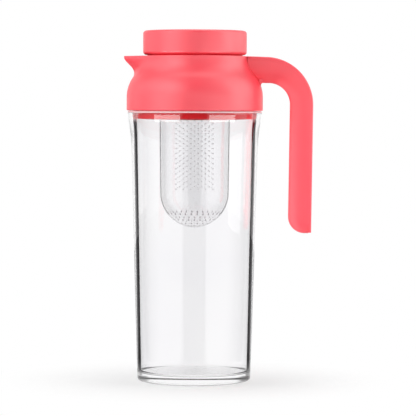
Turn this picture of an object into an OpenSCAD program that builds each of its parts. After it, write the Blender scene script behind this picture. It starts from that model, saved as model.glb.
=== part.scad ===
// Fruit infuser pitcher: a clear jug, a screw-on pouring collar with its handle,
// a hanging infuser basket and a plug cap. Millimetres, +Z up, the jug's axis on Z,
// the underside of the foot at zero, the spout towards -X and the handle towards +X.

/* [Jug] */
// Outer radius of the jug at the foot
foot_radius = 47; // [42:0.5:50]
// How much the outer radius grows from the foot to the shoulder
jug_outer_growth = 6.4; // [4:0.2:8]
// Height of the shoulder under the collar
shoulder_height = 223.4; // [200:0.2:250]
// Extra outer radius that the flare adds at the shoulder
flare_width = 2.6; // [1:0.1:4]
// Height of the flared stretch below the shoulder
flare_height = 33; // [20:1:50]
// Thickness of the wall at the floor
jug_wall = 1.8; // [1.4:0.1:3]
// How much the inner radius grows from the floor to the rim
jug_inner_growth = 4.2; // [2:0.1:5]
// Thickness of the floor
floor_thickness = 7; // [5:0.1:12]
// Radius of the edge round the foot
foot_edge_radius = 2; // [1:0.1:3]
// Radius of the inside corner at the floor
floor_corner_radius = 3; // [1.5:0.1:5]

/* [Neck and thread] */
// Height of the neck above the shoulder
neck_height = 16.6; // [14:0.2:20]
// Thickness of the neck at the rim
neck_wall = 2.2; // [1.8:0.1:3]
// Number of thread starts
thread_starts = 3; // [2:1:3]
// Rise of the collar in one whole turn
thread_lead = 18; // [15:0.5:21]
// Height of a thread ridge
thread_depth = 1.3; // [1:0.1:1.8]
// Width of a ridge where it stands on the wall
thread_root_width = 2.4; // [1.8:0.1:2.8]
// Width of a ridge at its crest
thread_crest_width = 1.2; // [0.8:0.1:1.6]
// Angle that each ridge covers
thread_sweep = 112; // [90:1:114]
// Play between the flanks of two ridges
thread_play = 0.3; // [0.2:0.05:0.5]
// Room between a crest and the wall that it faces
crest_clearance = 0.6; // [0.4:0.05:0.9]

/* [Collar] */
// Wall of the collar
collar_wall = 3; // [2.4:0.1:3.6]
// Height of the collar
collar_height = 45; // [42:0.5:50]
// Slit between the jug's shoulder and the collar
collar_slit = 0.6; // [0.4:0.1:1]
// Radius of the mouth
mouth_radius = 37; // [35:0.5:38]
// Width of the flat land round the mouth
land_width = 7; // [6.2:0.1:8]
// Thickness of that land
land_thickness = 2.5; // [2:0.1:3.5]
// Wall of the tube that lines the mouth
mouth_tube_wall = 2; // [1.6:0.1:2.4]
// Radius of the round shoulder of the collar, seen from the side
shoulder_curve_radius = 28; // [24:0.5:31]
// Radius of the hollow waist of the collar, seen from the side
waist_curve_radius = 24; // [21:0.5:27]

/* [Spout] */
// How far the spout's tip stands out beyond the land
spout_reach = 16.6; // [12:0.2:18]
// Slope of the spout's underside below level, in degrees
spout_rake = 55; // [50:1:60]
// Wall of the spout
spout_wall = 2; // [1.6:0.1:2.6]
// Radius of the blunt tip
spout_tip_radius = 0.8; // [0.5:0.1:1.4]
// Depth of the pouring channel
channel_depth = 15; // [12:0.5:16]

/* [Liner and gasket] */
// Wall of the liner
liner_wall = 2.4; // [1.8:0.1:2.8]
// Depth of the liner's skirt below the rim of the jug
liner_depth = 21; // [18:0.5:30]
// Room between the liner's skirt and the jug
liner_clearance = 0.5; // [0.3:0.05:0.9]
// Room between pieces that are fitted together for good
fit_clearance = 0.2; // [0.1:0.05:0.3]
// Width of the ledge that the basket hangs on
seat_width = 2.8; // [2:0.1:3.4]
// Thickness of the collar's gasket
gasket_thickness = 2; // [1.4:0.1:2.6]

/* [Basket] */
// Outer radius of the basket under its flange
basket_radius = 29.3; // [27:0.1:30]
// How much the basket narrows from the flange to its round bottom
basket_draft = 0.6; // [0.2:0.1:1]
// Wall of the basket
basket_wall = 1.4; // [1:0.1:1.8]
// Depth of the basket below its seat
basket_depth = 117; // [100:1:140]
// Thickness of the basket's flange
basket_flange_thickness = 2; // [1.4:0.1:2.6]
// Room round the flange in the mouth
basket_clearance = 0.5; // [0.3:0.05:0.8]
// Number of drain slots in the flange
drain_slots = 8; // [6:1:10]
// Angle that each drain slot covers
drain_slot_sweep = 32; // [20:1:34]
// Width of a drain slot
drain_slot_width = 2.6; // [2:0.1:2.8]
// Diameter of the infusing holes
hole_diameter = 1.8; // [1.4:0.1:2.2]
// Distance between columns of holes
hole_column_pitch = 4.6; // [3.6:0.1:5]
// Distance between holes in a column
hole_row_pitch = 6.4; // [5:0.1:7]
// Number of columns of holes on each side
hole_columns = 7; // [5:2:9]
// Number of holes in a column
hole_rows = 9; // [6:1:10]
// Distance from the round bottom's rim to the lowest holes
hole_start = 3.5; // [2:0.5:8]
// Number of rings of holes in the round bottom
bottom_hole_rings = 4; // [2:1:4]
// Distance from the outermost ring to the basket's side
bottom_hole_margin = 4.7; // [4:0.1:8]

/* [Cap] */
// How far the cap's side stands in from the edge of the land
cap_inset = 0.8; // [0.4:0.1:1.6]
// Height of the cap
cap_height = 20; // [16:0.5:26]
// Wall of the cap at its open end
cap_wall = 3.6; // [3.2:0.1:4]
// Thickness of the cap's top
cap_top_thickness = 2.6; // [2:0.1:3.6]
// Radius of the cap's edges
cap_edge_radius = 2.6; // [1.6:0.1:3]
// Width of the step that the plug's plate seats on
cap_step_width = 1.2; // [0.8:0.1:1.8]
// Thickness of the plug's plate
plug_plate_thickness = 2.4; // [2:0.1:3]
// Wall of the plug's skirt
plug_wall = 2.2; // [1.6:0.1:2.8]
// Room round the plug in the mouth
plug_clearance = 0.5; // [0.3:0.05:0.8]
// Gap between the plug and the basket's flange
plug_gap = 1.6; // [1:0.1:3]
// Number of slots in the plug's strainer window
window_slots = 7; // [5:2:9]
// Width of each slot of the window
window_slot_width = 3; // [2:0.1:3.4]
// Distance between those slots, as an angle
window_slot_step = 8; // [7:0.5:8.5]
// Bar left above and below the slots
window_bar = 3; // [2:0.2:4]
// Thickness of the seal under the cap
seal_thickness = 1; // [0.6:0.1:1.6]

/* [Handle] */
// Width of the handle
handle_width = 22; // [18:0.5:26]
// Thickness of the upright grip
grip_thickness = 19; // [17:0.5:23]
// Height of the arm that joins the collar
arm_height = 22; // [19:0.5:25]
// Clear finger room between the collar and the grip
finger_room = 22.4; // [18:0.2:28]
// Radius of the outer bend
handle_bend_radius = 41.5; // [38:0.5:44]
// Drop from the collar's top to the lower end of the grip
handle_drop = 146.4; // [130:0.2:165]
// How far the lower end leans in
handle_lean = 1.2; // [0:0.1:3]
// Radius of the round lower end
handle_end_radius = 15.2; // [12:0.2:16]
// Thickness of the strip along the handle's back
back_strip_thickness = 2.3; // [1.8:0.1:3]
// Wall of the hollow grip
grip_wall = 2.8; // [2.2:0.1:3.4]
// Depth of the rib that locates the strip
strip_rib_depth = 2.5; // [1.5:0.1:3.5]
// Height of the tongue that holds the handle in the collar
tongue_height = 9; // [7:0.5:11]
// Width of that tongue
tongue_width = 13; // [10:0.5:16]
// How far the tongue reaches past the collar's wall
tongue_reach = 1.2; // [0.6:0.1:2]

/* [Hidden] */

coral = [0.96, 0.42, 0.45];
clear_plastic = [0.9, 0.93, 0.95, 0.45];
silicone = [0.85, 0.2, 0.25];

$fn = 96;
// Steps of a round stretch in an outline
arc_steps = 10;
// One overrun for every cut that goes right through
overrun = 1;
// How far a ridge is sunk into the wall that carries it
thread_embed = 0.4;
// Angle of one straight piece of a ridge
thread_step = 8;
// How far the spout's two sides run in under the land's edge
spout_tuck = 0.5;
// Height that is left of a ridge at its two ends
thread_end_share = 0.15;

// Heights of the stack, from the foot up
rim_height = shoulder_height + neck_height;
gasket_top = rim_height + gasket_thickness;
seat_height = gasket_top + liner_wall;
collar_bottom = shoulder_height + collar_slit;
collar_top = collar_bottom + collar_height;
cap_bottom = collar_top + seal_thickness;
cap_top = cap_bottom + cap_height;

// Radii of the stack, from the jug's bore outwards and inwards
floor_inner_radius = foot_radius - jug_wall;
rim_inner_radius = floor_inner_radius + jug_inner_growth;
neck_outer_radius = rim_inner_radius + neck_wall;
male_crest_radius = neck_outer_radius + thread_depth;
skirt_inner_radius = male_crest_radius + crest_clearance;
female_crest_radius = neck_outer_radius + crest_clearance;
collar_radius = skirt_inner_radius + collar_wall;
land_radius = mouth_radius + land_width;
liner_low_inner = jug_inner_radius(rim_height - liner_depth);
liner_radius = liner_low_inner - liner_clearance;
seat_inner_radius = mouth_radius - seat_width;
basket_flange_radius = mouth_radius - basket_clearance;
plug_radius = mouth_radius - plug_clearance;
cap_radius = land_radius - cap_inset;
plug_plate_radius = cap_radius - cap_wall - fit_clearance;

// Thread: the collar's ridges lie under the jug's ridges
ridge_rise = thread_lead * thread_sweep / 360;
ridge_drop = (thread_root_width + thread_crest_width) / 2 + thread_play;
male_ridge_height = shoulder_height + (neck_height - ridge_rise + ridge_drop) / 2;
female_ridge_height = male_ridge_height - ridge_drop;

// Collar outline: a round shoulder that runs smoothly into a hollow waist
curve_reach = shoulder_curve_radius + waist_curve_radius;
shoulder_centre_radius = collar_radius - shoulder_curve_radius;
waist_centre_radius = land_radius + waist_curve_radius;
curve_spread = waist_centre_radius - shoulder_centre_radius;
curve_angle = acos(curve_spread / curve_reach);
shoulder_centre_height = collar_top - curve_reach * sin(curve_angle);

// Spout: a cone that lies on its side, touches the land's circle and is cut level at the top
spout_plan_angle = asin((land_radius - spout_tuck) / (land_radius + spout_reach));
spout_tilt = atan((cos(spout_plan_angle) - cos(spout_rake)) / sin(spout_rake));
spout_half_angle = spout_rake - spout_tilt;
spout_length = (spout_reach + land_radius) * cos(spout_plan_angle) * cos(spout_plan_angle);
channel_floor = collar_top - channel_depth;

// Basket
basket_bottom_radius = basket_radius - basket_draft;
basket_low_height = seat_height - basket_depth + basket_bottom_radius;
drain_slot_radius = (basket_radius + seat_inner_radius) / 2;
bottom_ring_pitch = (basket_bottom_radius - bottom_hole_margin) / bottom_hole_rings;

// Plug
plug_low_height = seat_height + basket_flange_thickness + plug_gap;
window_height = collar_top - plug_low_height - 2 * window_bar;

// Handle
grip_inner_x = collar_radius + finger_room;
grip_outer_x = grip_inner_x + grip_thickness;
bend_x = grip_outer_x - handle_bend_radius;
bend_height = collar_top - handle_bend_radius;
inner_bend_radius = handle_bend_radius - (grip_thickness + arm_height) / 2;
inner_bend_x = grip_inner_x - inner_bend_radius;
inner_bend_height = collar_top - arm_height - inner_bend_radius;
handle_bottom = collar_top - handle_drop;
handle_root_x = mouth_radius;
tongue_low = collar_top - arm_height / 2 - tongue_height / 2;
tongue_back_x = collar_face_radius(collar_wall, tongue_low + tongue_height) - tongue_reach;
arm_foot_x = collar_face_radius(0, collar_top - arm_height);
pocket_root_x = arm_foot_x + grip_wall;

// Radius of the jug's bore at a height
function jug_inner_radius(height) =
    floor_inner_radius + jug_inner_growth * (height - floor_thickness) / (rim_height - floor_thickness);

// Radius of the jug's outside at a height: a straight taper and a flare that grows as a square
function jug_outer_radius(height) =
    let (above = max(0, height - shoulder_height + flare_height) / flare_height)
    foot_radius + jug_outer_growth * height / shoulder_height + flare_width * above * above;

// Points of an arc in an outline
function arc(centre, radius, from, to) = [
    for (step = [0 : arc_steps])
    let (angle = from + (to - from) * step / arc_steps)
    centre + radius * [cos(angle), sin(angle)]
];

function reversed(points) = [for (index = [len(points) - 1 : -1 : 0]) points[index]];

// The collar's curved outline from the skirt up to a height, set in by an inset
function collar_curve(inset, height) = concat(
    arc(
        [shoulder_centre_radius, shoulder_centre_height],
        shoulder_curve_radius - inset, 0, curve_angle
    ),
    arc(
        [waist_centre_radius, collar_top],
        waist_curve_radius + inset,
        180 + curve_angle, 180 + asin((collar_top - height) / (waist_curve_radius + inset))
    )
);

// Radius of the collar's side at a height, set in by an inset
function collar_face_radius(inset, height) =
    let (
        waist_radius = waist_curve_radius + inset,
        shoulder_radius = shoulder_curve_radius - inset,
        join_height = shoulder_centre_height + shoulder_radius * sin(curve_angle)
    )
    height > join_height
        ? waist_centre_radius - sqrt(pow(waist_radius, 2) - pow(collar_top - height, 2))
        : shoulder_centre_radius + sqrt(pow(shoulder_radius, 2) - pow(height - shoulder_centre_height, 2));

// One thread ridge, which climbs by the right-hand rule from its start
module thread_ridge(root_radius, crest_radius, start_height) {
    steps = ceil(thread_sweep / thread_step);
    points = [
        for (step = [0 : steps])
        let (
            angle = thread_sweep * step / steps,
            height = start_height + ridge_rise * step / steps,
            share = step == 0 || step == steps ? thread_end_share : 1,
            crest = root_radius + (crest_radius - root_radius) * share
        )
        each [
            [root_radius * cos(angle), root_radius * sin(angle), height - thread_root_width / 2],
            [crest * cos(angle), crest * sin(angle), height - thread_crest_width / 2],
            [crest * cos(angle), crest * sin(angle), height + thread_crest_width / 2],
            [root_radius * cos(angle), root_radius * sin(angle), height + thread_root_width / 2]
        ]
    ];
    last = 4 * steps;
    sides = [
        for (step = [0 : steps - 1], corner = [0 : 3])
        let (here = 4 * step, after = (corner + 1) % 4)
        each [
            [here + corner, here + after, here + 4 + after],
            [here + corner, here + 4 + after, here + 4 + corner]
        ]
    ];
    ends = [[0, 3, 2], [0, 2, 1], [last, last + 1, last + 2], [last, last + 2, last + 3]];
    outward = concat(sides, ends);
    faces = crest_radius > root_radius ? outward : [for (face = outward) reversed(face)];
    for (start = [0 : thread_starts - 1])
        rotate(start * 360 / thread_starts)
            polyhedron(points, faces);
}

// The jug, its thick floor, its flare and its threaded neck
module jug_body() {
    flare_start = shoulder_height - flare_height;
    outer = concat(
        arc([jug_outer_radius(0) - foot_edge_radius, foot_edge_radius], foot_edge_radius, -90, 0),
        [for (step = [0 : arc_steps])
            let (height = flare_start + flare_height * step / arc_steps)
            [jug_outer_radius(height), height]],
        [[neck_outer_radius, shoulder_height], [neck_outer_radius, rim_height]],
        [[rim_inner_radius, rim_height]]
    );
    inner = concat(
        reversed(arc(
            [floor_inner_radius - floor_corner_radius, floor_thickness + floor_corner_radius],
            floor_corner_radius, -90, 0
        )),
        [[0, floor_thickness], [0, 0]]
    );
    color(clear_plastic)
        union() {
            rotate_extrude()
                polygon(concat(outer, inner));
            thread_ridge(neck_outer_radius - thread_embed, male_crest_radius, male_ridge_height);
        }
}

// A cone along the spout's axis, set back from the tip and ending short of the spout's end
module spout_cone(setback, end_wall) {
    tip_cut = spout_tip_radius / tan(spout_half_angle);
    reach = spout_length - setback - end_wall;
    translate([-land_radius - spout_reach, 0, collar_top])
        rotate([0, 90 + spout_tilt, 0])
            translate([0, 0, setback + tip_cut])
                cylinder(
                    h = reach - tip_cut, r1 = spout_tip_radius,
                    r2 = reach * tan(spout_half_angle)
                );
}

// A level slab that is wide enough for the whole spout
module spout_slab(low, high) {
    reach = land_radius + spout_reach + overrun;
    translate([-reach, -reach, low])
        cube([reach, 2 * reach, high - low]);
}

// The slot in the collar that takes the handle's tongue
module tongue_block(clearance) {
    translate([tongue_back_x - clearance, -tongue_width / 2 - clearance, tongue_low - clearance])
        cube([
            pocket_root_x - tongue_back_x + clearance,
            tongue_width + 2 * clearance,
            tongue_height + 2 * clearance
        ]);
}

// The pouring collar with its spout, its mouth tube and its inner thread
module collar() {
    outer = collar_curve(0, collar_top);
    inner = collar_curve(collar_wall, collar_top - land_thickness);
    tube_radius = mouth_radius + mouth_tube_wall;
    shell = concat(
        [[collar_radius, collar_bottom]],
        outer,
        [[mouth_radius, collar_top], [mouth_radius, seat_height], [tube_radius, seat_height]],
        [[tube_radius, collar_top - land_thickness]],
        reversed(inner),
        [[skirt_inner_radius, collar_bottom]]
    );
    channel_setback = spout_wall / sin(spout_half_angle);
    color(coral)
        difference() {
            union() {
                rotate_extrude()
                    polygon(shell);
                thread_ridge(skirt_inner_radius + thread_embed, female_crest_radius, female_ridge_height);
                difference() {
                    intersection() {
                        spout_cone(0, 0);
                        spout_slab(channel_floor - spout_wall, collar_top);
                    }
                    translate([0, 0, seat_height])
                        cylinder(h = collar_height, r = mouth_radius);
                }
            }
            intersection() {
                spout_cone(channel_setback, spout_wall);
                spout_slab(channel_floor, collar_top + overrun);
            }
            tongue_block(fit_clearance);
        }
}

// The liner: a skirt inside the jug's neck and the ledge that carries the basket
module collar_liner() {
    flange_radius = collar_face_radius(collar_wall, seat_height) - fit_clearance;
    skirt_bottom = rim_height - liner_depth;
    color(coral)
        rotate_extrude()
            polygon([
                [seat_inner_radius, gasket_top],
                [liner_radius - liner_wall, gasket_top],
                [liner_radius - liner_wall, skirt_bottom],
                [liner_radius, skirt_bottom],
                [liner_radius, gasket_top],
                [flange_radius, gasket_top],
                [flange_radius, seat_height],
                [seat_inner_radius, seat_height]
            ]);
}

// The flat ring between the jug's rim and the liner
module collar_gasket() {
    color(silicone)
        translate([0, 0, rim_height])
            difference() {
                cylinder(h = gasket_thickness, r = neck_outer_radius);
                translate([0, 0, -overrun])
                    cylinder(h = gasket_thickness + 2 * overrun, r = liner_radius + liner_clearance);
            }
}

// The handle's outer edge, set in by an inset, from the arm's root to an end height
function handle_outer_path(inset, end) =
    let (lean = handle_lean * (bend_height - end) / (bend_height - handle_bottom))
    concat(
        [[handle_root_x, collar_top - inset]],
        arc([bend_x, bend_height], handle_bend_radius - inset, 90, 0),
        [[grip_outer_x - inset - lean, end]]
    );

// The handle's inner edge, set in by an inset, from an end height up to the arm's root
function handle_inner_path(inset, end) =
    let (
        corner_radius = handle_end_radius - inset,
        corner_height = end + corner_radius,
        lean = handle_lean * (bend_height - corner_height) / (bend_height - handle_bottom),
        corner_x = grip_inner_x - lean + inset + corner_radius
    )
    concat(
        arc([corner_x, corner_height], corner_radius, 270, 180),
        arc([inner_bend_x, inner_bend_height], inner_bend_radius + inset, 0, 90),
        [[handle_root_x, collar_top - arm_height + inset]]
    );

// A handle outline, stood up and made as wide as given, from a root on
module handle_slab(points, width, root) {
    intersection() {
        translate([0, width / 2, 0])
            rotate([90, 0, 0])
                linear_extrude(height = width)
                    polygon(points);
        translate([root, -handle_width, handle_bottom - overrun])
            cube([grip_outer_x, 2 * handle_width, handle_drop + 2 * overrun]);
    }
}

// The space that the collar takes out of the handle's root
module collar_space() {
    rotate_extrude()
        polygon(concat(
            [[0, collar_bottom], [collar_radius + fit_clearance, collar_bottom]],
            collar_curve(-fit_clearance, collar_top),
            [[land_radius + fit_clearance, collar_top + overrun], [0, collar_top + overrun]]
        ));
}

// The hollow grip, open along its back, with the tongue that holds it in the collar
module handle_grip() {
    solid_outline = concat(
        handle_outer_path(back_strip_thickness, handle_bottom),
        handle_inner_path(0, handle_bottom)
    );
    pocket_outline = concat(
        handle_outer_path(0, handle_bottom + grip_wall),
        handle_inner_path(grip_wall, handle_bottom + grip_wall)
    );
    color(coral)
        difference() {
            union() {
                difference() {
                    handle_slab(solid_outline, handle_width, handle_root_x);
                    collar_space();
                }
                tongue_block(0);
            }
            handle_slab(pocket_outline, handle_width - 2 * grip_wall, pocket_root_x);
        }
}

// The strip that closes the grip's back, with a rib that sits in the hollow
module handle_back_strip() {
    rib_end = handle_bottom + handle_end_radius;
    strip_outline = concat(
        handle_outer_path(0, handle_bottom),
        reversed(handle_outer_path(back_strip_thickness, handle_bottom))
    );
    rib_outline = concat(
        handle_outer_path(back_strip_thickness / 2, rib_end),
        reversed(handle_outer_path(back_strip_thickness + strip_rib_depth, rib_end))
    );
    rib_width = handle_width - 2 * grip_wall - 2 * fit_clearance;
    color(coral)
        union() {
            difference() {
                handle_slab(strip_outline, handle_width, handle_root_x);
                collar_space();
            }
            handle_slab(rib_outline, rib_width, pocket_root_x + fit_clearance);
        }
}

// The infusing holes: rows straight through front and back, rings straight through the bottom
module infusing_holes() {
    hole_radius = hole_diameter / 2;
    for (column = [0 : hole_columns - 1], row = [0 : hole_rows - 1])
        translate([
            (column - (hole_columns - 1) / 2) * hole_column_pitch,
            basket_radius + overrun,
            basket_low_height + hole_start + (row + (column % 2) / 2) * hole_row_pitch
        ])
            rotate([90, 0, 0])
                cylinder(h = 2 * (basket_radius + overrun), r = hole_radius);
    for (ring = [1 : bottom_hole_rings], place = [0 : 6 * ring - 1])
        rotate(place * 60 / ring)
            translate([ring * bottom_ring_pitch, 0, basket_low_height - basket_bottom_radius - overrun])
                cylinder(h = basket_bottom_radius, r = hole_radius);
}

// The hanging basket: a tapered tube with a round bottom and a slotted flange
module infuser_basket() {
    inner_radius = basket_bottom_radius - basket_wall;
    tube_height = seat_height - basket_low_height;
    color(clear_plastic)
        difference() {
            union() {
                translate([0, 0, basket_low_height])
                    cylinder(h = tube_height, r1 = basket_bottom_radius, r2 = basket_radius);
                intersection() {
                    translate([0, 0, basket_low_height])
                        sphere(r = basket_bottom_radius);
                    translate([0, 0, basket_low_height - basket_radius])
                        cylinder(h = basket_radius, r = basket_radius);
                }
                translate([0, 0, seat_height])
                    cylinder(h = basket_flange_thickness, r = basket_flange_radius);
            }
            translate([0, 0, basket_low_height])
                cylinder(
                    h = tube_height + basket_flange_thickness + overrun,
                    r1 = inner_radius, r2 = inner_radius + basket_draft
                );
            intersection() {
                translate([0, 0, basket_low_height])
                    sphere(r = inner_radius);
                translate([0, 0, basket_low_height - basket_radius])
                    cylinder(h = basket_radius, r = basket_radius);
            }
            for (slot = [0 : drain_slots - 1])
                rotate(slot * 360 / drain_slots)
                    rotate_extrude(angle = drain_slot_sweep)
                        translate([drain_slot_radius - drain_slot_width / 2, seat_height - overrun])
                            square([drain_slot_width, basket_flange_thickness + 2 * overrun]);
            infusing_holes();
        }
}

// The cap's plain drum, open below
module cap_shell() {
    plate_radius = cap_radius - cap_wall;
    step_height = cap_bottom + plug_plate_thickness;
    ceiling = cap_top - cap_top_thickness;
    color(coral)
        rotate_extrude()
            polygon(concat(
                arc([cap_radius - cap_edge_radius, cap_bottom + cap_edge_radius], cap_edge_radius, -90, 0),
                arc([cap_radius - cap_edge_radius, cap_top - cap_edge_radius], cap_edge_radius, 0, 90),
                [[0, cap_top], [0, ceiling], [plate_radius - cap_step_width, ceiling]],
                [[plate_radius - cap_step_width, step_height], [plate_radius, step_height]],
                [[plate_radius, cap_bottom]]
            ));
}

// The stopper under the cap, with a strainer window a quarter turn away from the spout
module cap_plug() {
    skirt_height = cap_bottom - plug_low_height;
    color(coral)
        difference() {
            union() {
                translate([0, 0, plug_low_height])
                    cylinder(h = skirt_height, r = plug_radius);
                translate([0, 0, cap_bottom])
                    cylinder(h = plug_plate_thickness, r = plug_plate_radius);
            }
            translate([0, 0, plug_low_height - overrun])
                cylinder(h = skirt_height + overrun, r = plug_radius - plug_wall);
            for (slot = [0 : window_slots - 1])
                rotate(90 + (slot - (window_slots - 1) / 2) * window_slot_step)
                    translate([0, -window_slot_width / 2, plug_low_height + window_bar])
                        cube([plug_radius + overrun, window_slot_width, window_height]);
        }
}

// The flat ring that the cap turns on
module cap_seal() {
    color(silicone)
        translate([0, 0, collar_top])
            difference() {
                cylinder(h = seal_thickness, r = plug_plate_radius);
                translate([0, 0, -overrun])
                    cylinder(h = seal_thickness + 2 * overrun, r = plug_radius + plug_clearance);
            }
}

jug_body();
collar();
collar_liner();
collar_gasket();
handle_grip();
handle_back_strip();
infuser_basket();
cap_shell();
cap_plug();
cap_seal();
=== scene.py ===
"""Looks of the fruit infuser pitcher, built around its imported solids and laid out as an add-on."""

import math

import bpy
from mathutils import Matrix, Vector


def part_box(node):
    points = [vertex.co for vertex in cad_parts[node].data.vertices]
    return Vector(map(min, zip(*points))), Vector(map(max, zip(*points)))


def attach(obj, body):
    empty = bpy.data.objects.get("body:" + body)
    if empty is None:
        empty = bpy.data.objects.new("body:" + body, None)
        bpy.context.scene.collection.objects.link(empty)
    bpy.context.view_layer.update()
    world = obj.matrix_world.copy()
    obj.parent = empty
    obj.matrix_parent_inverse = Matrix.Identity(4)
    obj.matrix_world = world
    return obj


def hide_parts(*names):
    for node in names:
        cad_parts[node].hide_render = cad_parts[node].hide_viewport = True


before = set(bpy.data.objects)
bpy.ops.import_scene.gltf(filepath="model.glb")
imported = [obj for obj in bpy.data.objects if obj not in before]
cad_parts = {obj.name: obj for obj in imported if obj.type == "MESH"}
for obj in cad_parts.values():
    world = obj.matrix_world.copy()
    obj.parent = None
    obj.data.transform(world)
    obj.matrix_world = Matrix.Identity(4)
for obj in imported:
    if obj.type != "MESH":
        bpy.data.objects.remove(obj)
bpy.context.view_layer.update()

bl_info = {
    "name": "Fruit infuser pitcher",
    "version": (1, 0, 0),
    "blender": (4, 5, 0),
    "location": "3D View > Sidebar > Pitcher",
    "description": "Models the pieces of a fruit infuser pitcher and their finishes around its packed solids",
    "category": "Add Mesh",
}

MM = 0.001
RIM_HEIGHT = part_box("jug_body")[1].z
COLLAR_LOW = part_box("collar")[0].z
COLLAR_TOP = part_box("collar")[1].z
SPOUT_TIP = -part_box("collar")[0].x
HANDLE_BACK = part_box("handle_back_strip")[1].x
HANDLE_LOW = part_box("handle_grip")[0].z
HANDLE_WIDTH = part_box("handle_grip")[1].y * 2
FLANGE_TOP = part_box("infuser_basket")[1].z
FLANGE_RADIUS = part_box("infuser_basket")[1].x
BASKET_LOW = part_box("infuser_basket")[0].z
CAP_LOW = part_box("cap_shell")[0].z
CAP_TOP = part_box("cap_shell")[1].z
CAP_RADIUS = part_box("cap_shell")[1].x

# Places closer together than this are one place
SAME = 1e-6


def length(name, description, default):
    """A size in metres that the sidebar shows in the scene's own unit."""
    return bpy.props.FloatProperty(
        name=name, description=description, default=default, min=0.0, precision=4,
        subtype="DISTANCE", unit="LENGTH",
    )


def count(name, description, default):
    """A number of like features."""
    return bpy.props.IntProperty(name=name, description=description, default=default, min=1)


def colour(name, description, default):
    """A colour of a finish."""
    return bpy.props.FloatVectorProperty(
        name=name, description=description, default=default, size=3, min=0.0, max=1.0, subtype="COLOR",
    )


class PITCHER_PG_jug(bpy.types.PropertyGroup):
    """Sizes of the clear jug."""

    foot_radius: length("Foot radius", "Outer radius at the foot", 47.0 * MM)
    taper: length("Taper", "How much the outer radius grows up to the shoulder", 6.4 * MM)
    shoulder_height: length("Shoulder height", "Height of the shoulder under the collar", 223.7 * MM)
    flare: length("Flare", "Extra radius of the flare at the shoulder", 2.6 * MM)
    flare_height: length("Flare height", "Height of the flared stretch", 33.0 * MM)
    floor_radius: length("Floor radius", "Inner radius at the floor", 45.2 * MM)
    mouth_radius: length("Mouth radius", "Inner radius at the rim", 49.4 * MM)
    floor_thickness: length("Floor thickness", "Thickness of the solid floor", 7.0 * MM)
    inner_flare: length("Inner flare", "Extra inner radius of the flare under the neck", 1.3 * MM)
    neck_radius: length("Neck radius", "Outer radius of the threaded neck", 51.6 * MM)
    thread_depth: length("Thread depth", "Height of the thread ridges", 1.3 * MM)


class PITCHER_PG_collar(bpy.types.PropertyGroup):
    """Sizes of the pouring collar."""

    radius: length("Radius", "Outer radius of the skirt", 56.5 * MM)
    wall: length("Wall", "Thickness of the collar", 3.0 * MM)
    land_radius: length("Land radius", "Radius of the flat land at the top", 44.0 * MM)
    mouth_radius: length("Mouth radius", "Radius of the mouth that takes the plug", 37.0 * MM)
    shoulder_curve: length("Shoulder curve", "Radius of the round shoulder, seen from the side", 28.0 * MM)
    waist_curve: length("Waist curve", "Radius of the hollow waist, seen from the side", 24.0 * MM)
    channel_floor: length("Channel floor", "Height of the floor of the pouring channel", 254.0 * MM)


class PITCHER_PG_handle(bpy.types.PropertyGroup):
    """Sizes of the handle."""

    thickness: length("Thickness", "Thickness of the upright grip", 19.0 * MM)
    arm_height: length("Arm height", "Height of the arm at the collar", 22.0 * MM)
    arm_fall: length("Arm fall", "How far the arm's top falls from the collar to the bend", 0.5 * MM)
    bend_radius: length("Bend radius", "Radius of the outer bend", 39.6 * MM)
    palm_bend: length("Palm bend", "Radius of the inner bend", 17.6 * MM)
    end_radius: length("End radius", "Radius of the round lower end", 13.6 * MM)
    lean: length("Lean", "How far the lower end leans in", 1.2 * MM)
    strip: length("Strip", "Thickness of the strip along the back", 2.3 * MM)
    fillet: length("Fillet", "Radius of the hollow under the arm at the collar", 1.8 * MM)
    crown: bpy.props.FloatProperty(
        name="Crown", description="Share of its width that the grip loses towards the palm",
        default=0.42, min=0.0, max=0.6, subtype="FACTOR",
    )
    palm_edge: length("Palm edge", "Radius of the grip's edges on the jug's side", 10.4 * MM)
    strip_edge: length("Strip edge", "Radius of the strip's edges", 1.3 * MM)
    seam_edge: length("Seam edge", "Radius of the edges along the strip's seam", 0.15 * MM)


class PITCHER_PG_basket(bpy.types.PropertyGroup):
    """Sizes of the infuser basket."""

    radius: length("Radius", "Outer radius under the flange", 29.9 * MM)
    draft: length("Draft", "How much the tube narrows downwards", 1.1 * MM)
    wall: length("Wall", "Thickness of the tube", 0.9 * MM)
    flange: length("Flange", "Thickness of the flange", 2.0 * MM)
    hole: length("Hole", "Diameter of an infusing hole", 0.80 * MM)
    column_pitch: length("Column pitch", "Distance between columns of holes", 3.0 * MM)
    row_pitch: length("Row pitch", "Distance between holes in a column", 4.2 * MM)
    ring_pitch: length("Ring pitch", "Distance between rings of holes in the dome", 4.6 * MM)
    columns: count("Columns", "Columns of holes", 11)
    rows: count("Rows", "Holes in a column", 14)
    rings: count("Rings", "Rings of holes in the dome, with the one in the middle", 6)
    slots: count("Slots", "Drain slots round the flange", 8)
    slot_radius: length("Slot radius", "Radius of the slots' middle line", 31.75 * MM)
    slot_width: length("Slot width", "Width of a drain slot", 2.6 * MM)


class PITCHER_PG_liner(bpy.types.PropertyGroup):
    """Sizes of the liner under the collar."""

    wall: length("Wall", "Thickness of the skirt and of the ledge", 2.4 * MM)
    depth: length("Depth", "How far the skirt reaches below its solid", 1.6 * MM)


class PITCHER_PG_cap(bpy.types.PropertyGroup):
    """Sizes of the cap."""

    edge: length("Edge", "Radius of the cap's edges", 2.6 * MM)
    inset: length("Inset", "How far the side lies inside its solid", 0.25 * MM)
    wall: length("Wall", "Thickness of the side at the open end", 3.6 * MM)
    top: length("Top", "Thickness of the top", 2.6 * MM)


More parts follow.
